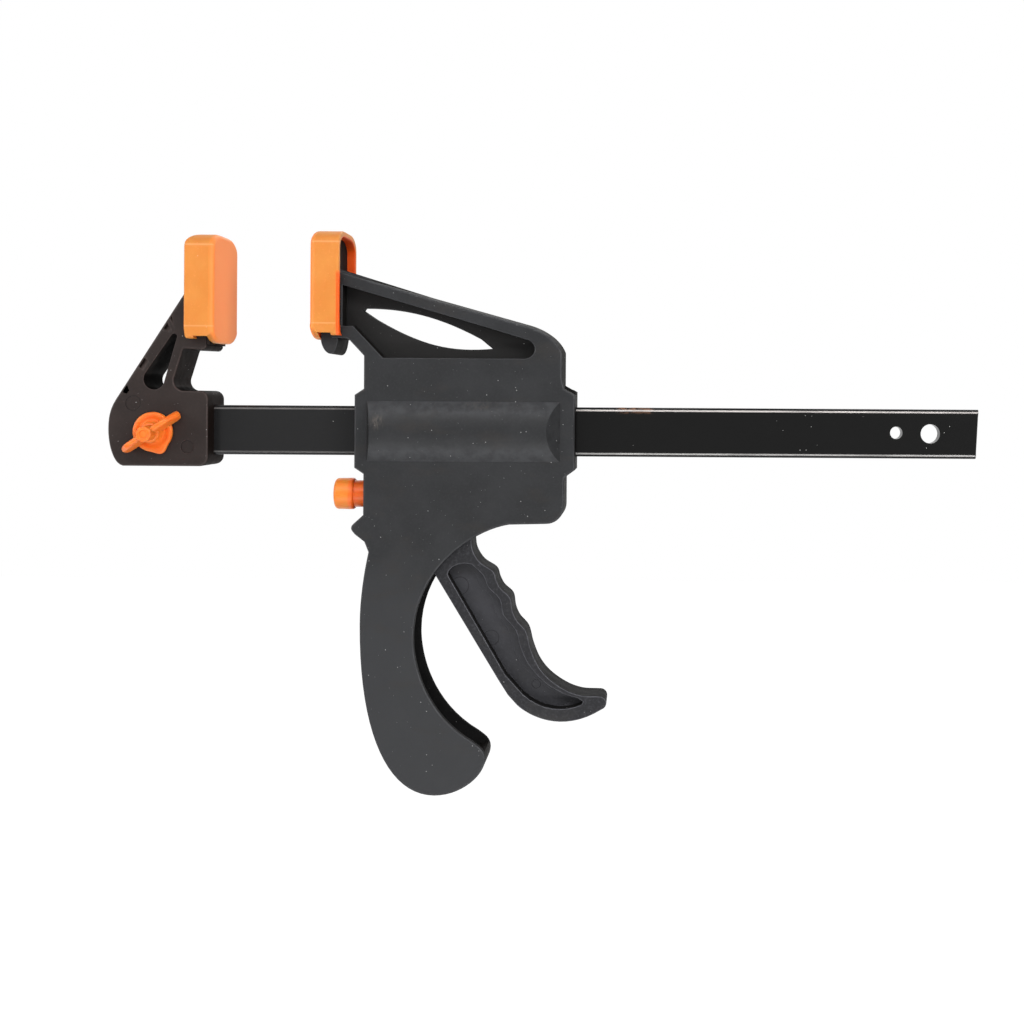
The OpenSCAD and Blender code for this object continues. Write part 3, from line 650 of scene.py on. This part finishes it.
# Scuffed spots, and places whose facing walls are painted with shade: centre, half sizes, strength.
BARREL_SCUFFS = [((58.2, -12.5, -47.5), (3.4, 6, 4.5), 0.75), ((95, -12, -41.5), (9, 6, 3.0), 0.35)]
BARREL_CAP = [((132.0, -HALF_W, BAR_Z), (34, 30, 34), 0.55)]
JAW_WINDOW = [((-19.1, 0.0, -25.0), (28, 50, 40), 1.0)]

# Depths between which the trigger's stepped walls run; those walls are painted with shade.
TRIGGER_SHADED_STEPS = ((2.95, 5.38), (5.7, 6.8))

housing_nylon = nylon("housing_nylon", (0.0225, 0.023, 0.0245), rgb(0.033, 0.029, 0.026), recess_shade_mm=6.5,
                      handled_z=-105, scuffs=BARREL_SCUFFS, dark=BARREL_CAP)
jaw_nylon = nylon("jaw_nylon", (0.0225, 0.0165, 0.0152), rgb(0.036, 0.025, 0.021), rings=JAW_RINGS,
                  dark=JAW_WINDOW)
trigger_nylon = nylon("trigger_nylon", (0.042, 0.042, 0.047), rgb(0.048, 0.046, 0.044), rim_shade_mm=6.5,
                      rings=TRIGGER_RINGS, steps=TRIGGER_SHADED_STEPS)
painted_bar = bar_paint()
rubber = pad_rubber()
hard_orange = orange_plastic()
zinc = steel("zinc_steel", rgb(0.72, 0.73, 0.75), rgb(0.56, 0.57, 0.6), 0.25, 0.4, (1, 0.1, 1))
ground = steel("plate_steel", rgb(0.5, 0.5, 0.52), rgb(0.34, 0.34, 0.36), 0.28, 0.45, (1, 1, 0.08))
wire = steel("spring_steel", rgb(0.45, 0.45, 0.47), rgb(0.3, 0.3, 0.32), 0.25, 0.4, (0.1, 1, 1))


# ---- Rounded mouldings ----

def around(mid, centre, radius):
    """Which midpoints lie closer than radius to a centre in the XZ plane."""
    return np.hypot(mid[:, 0] - centre[0], mid[:, 2] - centre[1]) < radius


def shell_side(mid):
    """A shell's side: wide along the outline, finer round the arm's recess and the screw holes.

    The recess lies between the arm's sloping top and foot lines; x counts from the moving clamping face.
    """
    x, z = mid[:, 0] - JAW_GAP, mid[:, 2]
    top = 2.1 - 0.287 * (x - 10.8)
    foot = np.maximum(-13.8 - 1.056 * np.maximum(x - 14.6, 0), -24.9)
    size = np.where((x > 10.5) & (x < 79) & (z < top) & (z > foot), RECESS_ROUND, WIDE_ROUND)
    for screw in SCREWS:
        size[around(mid, screw, 3.4)] = FINE_ROUND
    return size


def jaw_flank(mid):
    """The fixed jaw's side: wide along the outline, finer round its window, nut pocket and marks.

    The window is what lies within 4.6 mm of the line between the middles of its round ends.
    """
    place_xz = mid[:, [0, 2]]
    low, high = JAW_WINDOW_ENDS
    share = np.clip((place_xz - low) @ (high - low) / ((high - low) @ (high - low)), 0, 1)
    off = place_xz - low - share[:, None] * (high - low)
    fine = around(mid, BOLT, 6.5)
    for mark in JAW_MARKS:
        fine |= around(mid, mark, 3)
    return np.where(np.hypot(*off.T) < 4.6, RECESS_ROUND, np.where(fine, FINE_ROUND, WIDE_ROUND))


def arm_back(mid):
    """The draft along the arm's back and shoulder, which shows the joint between the shells."""
    x, z = mid[:, 0] - JAW_GAP, mid[:, 2]
    on_back = (z > 9.1 - 0.29 * x) | ((x > 84) & (z > -24.5)) | ((x > 90) & (z > -35.4))
    return np.where(on_back, ARM_DRAFT, 0.0)


def longer_skirt(back, z):
    """A pad's heights z with its side walls' lower edges moved down by SKIRT_DROP.

    Those edges lie within 0.76 mm of z = -16.2; back is the distance behind the clamping face.
    """
    return np.where((back > 2.65) & (np.abs(z + 16.2) < 0.76), z - SKIRT_DROP, z)


def fixed_pad_shape(points):
    """The longer skirt, and the back corners rounded by quarter ellipses.

    A corner's points come forward by its depth times 1 - sqrt(1 - s^2) at the share s of its height. All
    of that applies at the open back, and none of it from 4 mm behind the clamping face on.
    """
    top_depth, top_height, foot_depth, foot_height, fade_end = 4.2, 4.0, 1.2, 4.5, 4.0
    x, y, z = points.T
    z = longer_skirt(-x, z)
    high = np.clip((z - (PAD_HALF_H - top_height)) / top_height, 0, 1)
    low = np.clip((-(PAD_HALF_H - foot_height) - z) / foot_height, 0, 1)
    forward = top_depth * (1 - np.sqrt(1 - high ** 2)) + foot_depth * (1 - np.sqrt(1 - low ** 2))
    return np.stack([x + forward * np.clip((-x - fade_end) / (PAD_T - fade_end), 0, 1), y, z], 1)


def moving_pad_shape(points):
    """The longer skirt of the pad that sits higher."""
    x, y, z = points.T
    return np.stack([x, y, longer_skirt(x - JAW_GAP, z - PAD_RISE) + PAD_RISE], 1)


for node, side in (("front_shell", -1), ("rear_shell", 1)):
    rounded(node, housing_nylon, "housing",
            [(1, side * HALF_W, side, shell_side, arm_back), (1, side * 3.0, side, even(0.35)),
             (1, side * 9.2, side, even(0.4)), (1, 0.0, -side, even(0.12))])
rounded("fixed_jaw", jaw_nylon, "root",
        [(1, side * HALF_W, side, jaw_flank) for side in (-1, 1)])
rounded("trigger", trigger_nylon, "trigger",
        [(1, side * y, side, even(r)) for y, r in ((7.5, 0.6), (5.5, 0.3), (2.7, 0.12)) for side in (-1, 1)])
rounded("fixed_jaw_pad", rubber, "root",
        [(0, 0.0, 1, even(1.6)), (0, -PAD_T, -1, even(0.5))], fixed_pad_shape)
rounded("moving_jaw_pad", rubber, "housing",
        [(0, JAW_GAP, -1, even(2.0)), (0, JAW_GAP + PAD_T, 1, even(0.5))], moving_pad_shape)
rounded("bar", painted_bar, "root",
        [(1, side * BAR_HALF_T, side, even(FINE_ROUND)) for side in (-1, 1)])
rounded("jaw_nut", zinc, "root", [(1, 9.8, 1, even(0.4))])
rounded("wing_bolt_stud", zinc, "wing_bolt", [(1, 9.2, 1, even(0.5))])
rounded("shell_screws", zinc, "housing", [(1, 9.3, 1, even(0.4))])
for name, finish in (("trigger_pin", zinc), ("drive_plate_1", ground), ("drive_plate_2", ground),
                     ("drive_plate_3", ground), ("spring_seat", ground), ("brake_plate", ground),
                     ("drive_spring", wire), ("brake_spring", wire)):
    NODES[name].data.materials.clear()
    NODES[name].data.materials.append(finish)


# ---- Moulded wing bolt and button ----

def turned(profile, turn, reach=None):
    """Points and triangles of a profile of (r, y) turned round the Y axis.

    reach(radii, angles) may change the radius round the turn; the profile starts and ends on the axis.
    """
    r = np.repeat(profile[:, :1], len(turn), 1)
    if reach:
        r = reach(r, turn[None, :])
    y = np.repeat(profile[:, 1:], len(turn), 1)
    points = np.stack([r * np.cos(turn), y, r * np.sin(turn)], -1).reshape(-1, 3)
    return points, grid_faces(len(profile), len(turn))


def outward(points, tris):
    """Triangles turned so that a closed surface's volume is positive."""
    a, b, c = (points[tris[:, k]] for k in range(3))
    return tris if (np.cross(a, b) * c).sum() > 0 else tris[:, ::-1]


def wing_flange(turn):
    """The dished flange with its boss; a smooth lobe bulges from the rim at -66 degrees.

    The radius is r + 1.4 exp(-((a + 66) / 17)^2) for the angle a, the bulge growing from nothing at
    r = 5 to all of it at r = 7.
    """
    profile = np.array([[0, 0], [6.7, 0], [7.0, -0.25], [7.1, -0.6], [7.1, -1.35], [6.95, -1.75],
                        [6.6, -1.95], [5.9, -2.05], [5.6, -2.0], [5.2, -1.75], [4.6, -1.5], [4.15, -1.6],
                        [3.9, -2.1], [3.75, -3.2], [3.6, -4.9], [3.3, -5.3], [2.6, -5.4], [0, -5.4]])

    def reach(r, angle):
        off = (np.degrees(angle) + 66 + 180) % 360 - 180
        return r + 1.4 * np.exp(-(off / 17) ** 2) * np.clip((r - 5) / 2, 0, 1)
    return turned(profile, turn, reach)


def wing_hub(turn):
    """The hub: an octagon with rounded corners and a shallow round recess in its end.

    The radius is r times 1 + 0.75 (cos(22.5) / cos(a) - 1), a being the angle from the nearest flat's
    middle; it turns from round to eight-sided between r = 1.6 and r = 2.4.
    """
    profile = np.array([[0, -2], [3.0, -2], [2.95, -6], [2.85, -10.3], [2.7, -10.7], [2.4, -10.85],
                        [1.7, -10.85], [1.5, -10.8], [1.4, -10.6], [1.35, -10.35], [0, -10.3]])

    def reach(r, angle):
        a = (angle + np.radians(WING_TILT) + np.pi / 8) % (np.pi / 4) - np.pi / 8
        octagon = math.cos(np.pi / 8) / np.cos(a)
        return r * (1 + 0.75 * (octagon - 1) * np.clip((r - 1.6) / 0.8, 0, 1))
    return turned(profile, turn, reach)


def wings():
    """Both wings as one loft along u, from tip to tip, with superellipse sections.

    At the distance |u| from the axis a section reaches from the foot to the crest, with the half
    thickness 1.95 - 0.95 s at the share s of the way up; its corners follow the power 0.45. Close to a
    tip, at |u| = 12.2, it shrinks by the square root of 1 - (|u| / 12.21)^14.
    """
    count, ring, tip, corner = 60, 32, 12.2, 0.45
    u = tip * np.sin(np.linspace(-np.pi / 2, np.pi / 2, count))
    far = np.abs(u)
    crest = np.interp(far, [0, 6.6, 8.6, 9.8, 10.8, 11.6, 12.05, tip],
                      [9.5, 9.1, 8.4, 6.9, 5.6, 4.6, 3.8, 2.9])
    foot = np.interp(far, [0, 9.6, 11.4, tip], [0.35, 0.35, 0.8, 2.4])
    end = np.sqrt(np.clip(1 - (far / (tip + 0.01)) ** 14, 0, 1))
    a = np.linspace(0, 2 * np.pi, ring, endpoint=False)
    c = np.sign(np.cos(a)) * np.abs(np.cos(a)) ** corner
    s = np.sign(np.sin(a)) * np.abs(np.sin(a)) ** corner
    middle, half = (crest + foot) / 2, (crest - foot) / 2
    height = middle[:, None] + half[:, None] * s * end[:, None]
    thick = (1.95 - 0.95 * (s + 1) / 2) * end[:, None]
    points = np.stack([np.repeat(u[:, None], ring, 1), -height, c * thick], -1)
    return points.reshape(-1, 3), grid_faces(count, ring)


def wing_bolt():
    """The wing bolt's moulded head, tilted as it was left, leaning up to 0.7 mm down at its end."""
    turn = np.linspace(0, 2 * np.pi, 96, endpoint=False)
    tilt = math.radians(WING_TILT)
    points, tris = wings()
    spin = np.array([[math.cos(tilt), 0, -math.sin(tilt)], [0, 1, 0], [math.sin(tilt), 0, math.cos(tilt)]])
    parts = [wing_flange(turn), wing_hub(turn), (points @ spin.T, tris)]
    all_points, all_tris, count = [], [], 0
    for points, tris in parts:
        points, tris = merged(points, tris)
        all_tris.append(outward(points, tris) + count)
        points[:, 2] -= 0.7 * np.clip(-points[:, 1] / 10.9, 0, 1)
        all_points.append(points + np.array([BOLT[0], BOLT_SEAT_Y, BOLT[1]]))
        count += len(points)
    place("wing_bolt_moulded", np.concatenate(all_points), np.concatenate(all_tris), hard_orange,
          "wing_bolt", ("wing_bolt_head",), sharp=50)


def release_button():
    """The button: a flat-domed head, its rounded back edge and the shank, turned round the X axis."""
    a = np.radians(np.linspace(0, 90, 7))
    dome = np.stack([40.5 + 0.25 * np.linspace(0, 1, 6) ** 2, np.linspace(0, 4.5, 6)], 1)
    brow = np.stack([40.75 + 1.25 * (1 - np.cos(a)), 4.5 + 1.15 * np.sin(a)], 1)
    back = np.stack([46.9 + 1.0 * np.sin(a), 4.95 + 0.8 * np.cos(a)], 1)
    stem = np.array([[48.1, 4.85], [55.7, 4.9], [55.7, 6.1], [56.9, 6.1], [56.9, 4.9], [57.1, 1.2],
                     [57.1, 0]])
    profile = np.concatenate([dome, brow, back, stem])
    points, tris = turned(profile[:, ::-1], np.linspace(0, 2 * np.pi, 72, endpoint=False))
    points, tris = merged(points[:, [1, 0, 2]] + np.array([0, 0, BUTTON_Z]), tris)
    place("release_button_turned", points, outward(points - points.mean(0), tris), hard_orange,
          "release_button", ("release_button",), sharp=50)


wing_bolt()
release_button()


# ---- Floor, light and camera: all in metres ----

def seen_rays(tree):
    """1 for rays seen straight, mirrored or through something, 0 for those that only carry light."""
    paths = tree.nodes.new("ShaderNodeLightPath")
    seen = paths.outputs["Is Camera Ray"]
    for name in ("Is Glossy Ray", "Is Transmission Ray"):
        larger = tree.nodes.new("ShaderNodeMath")
        larger.operation = "MAXIMUM"
        tree.links.new(seen, larger.inputs[0])
        tree.links.new(paths.outputs[name], larger.inputs[1])
        seen = larger.outputs[0]
    return seen


def floor():
    """A plain pale floor well below the clamp that shows white except where shadow falls."""
    half, z = 6.0, -0.90
    mesh = bpy.data.meshes.new("floor")
    mesh.from_pydata([(-half, -half, z), (half, -half, z), (half, half, z), (-half, half, z)], [],
                     [(0, 1, 2, 3)])
    f = Finish("floor_white")
    diffuse = f.add("BsdfDiffuse", 0, {"Color": rgb(0.9, 0.9, 0.9)})
    glow = f.add("Emission", 0, {"Color": rgb(1, 1, 1), "Strength": 0.84})
    both = f.add("AddShader", 0, {0: diffuse, 1: glow})
    mesh.materials.append(f.shown(f.add("MixShader", 0, {0: seen_rays(f.tree), 1: diffuse, 2: both})))
    obj = bpy.data.objects.new("floor", mesh)
    bpy.context.scene.collection.objects.link(obj)


def white_world():
    """White behind the clamp and in its reflections; soft grey light on it."""
    world = bpy.data.worlds.new("studio")
    bpy.context.scene.world = world
    world.use_nodes = True
    nodes, links = world.node_tree.nodes, world.node_tree.links
    nodes.clear()
    strength = nodes.new("ShaderNodeMapRange")
    strength.inputs["To Min"].default_value = 0.22
    strength.inputs["To Max"].default_value = 1.0
    links.new(seen_rays(world.node_tree), strength.inputs["Value"])
    background = nodes.new("ShaderNodeBackground")
    background.inputs["Color"].default_value = rgb(1, 1, 1)
    links.new(strength.outputs[0], background.inputs["Strength"])
    output = nodes.new("ShaderNodeOutputWorld")
    links.new(background.outputs[0], output.inputs["Surface"])


def soft_light(name, stand, aim, wide, high, power):
    """A soft box of wide by high metres that stands at stand and faces aim, with its power in watts."""
    lamp = bpy.data.lights.new(name, "AREA")
    lamp.shape = "RECTANGLE"
    lamp.size = wide
    lamp.size_y = high
    lamp.energy = power
    obj = bpy.data.objects.new(name, lamp)
    bpy.context.scene.collection.objects.link(obj)
    z = unit(np.array(stand, float) - np.array(aim, float))
    x = unit(np.cross((0, 0, 1), z))
    matrix = np.eye(4)
    matrix[:3] = np.stack([x, np.cross(z, x), z, stand], 1)
    obj.matrix_world = Matrix(matrix.tolist())


def camera():
    """The camera looks square on to the clamp's side, half a metre away, turned by a third of a degree."""
    data = bpy.data.cameras.new("camera")
    data.lens = 48.0
    data.sensor_width = 36.0
    data.shift_x = -0.125
    data.shift_y = -0.109
    data.clip_start = 0.01
    obj = bpy.data.objects.new("camera", data)
    bpy.context.scene.collection.objects.link(obj)
    obj.matrix_world = (Matrix.Translation((0.1518, -0.5, -0.03935))
                        @ Matrix.Rotation(math.radians(90), 4, "X")
                        @ Matrix.Rotation(math.radians(0.36), 4, "Z"))
    bpy.context.scene.camera = obj


floor()
white_world()
clamp_middle = (0.1, 0.0, -0.06)
soft_light("upper_front", (0.0, -0.95, 0.74), clamp_middle, 1.2, 0.3, 7)
soft_light("lower_front", (0.1, -0.8, -0.7), clamp_middle, 1.2, 0.15, 4.5)
soft_light("right", (1.0, -0.75, 0.3), clamp_middle, 0.6, 0.6, 8.5)
soft_light("left", (-1.0, -0.6, 0.3), clamp_middle, 0.6, 0.6, 6)
soft_light("back", (0.3, 1.2, 0.9), clamp_middle, 0.9, 0.9, 5)
camera()
bpy.context.scene.view_settings.view_transform = "Standard"
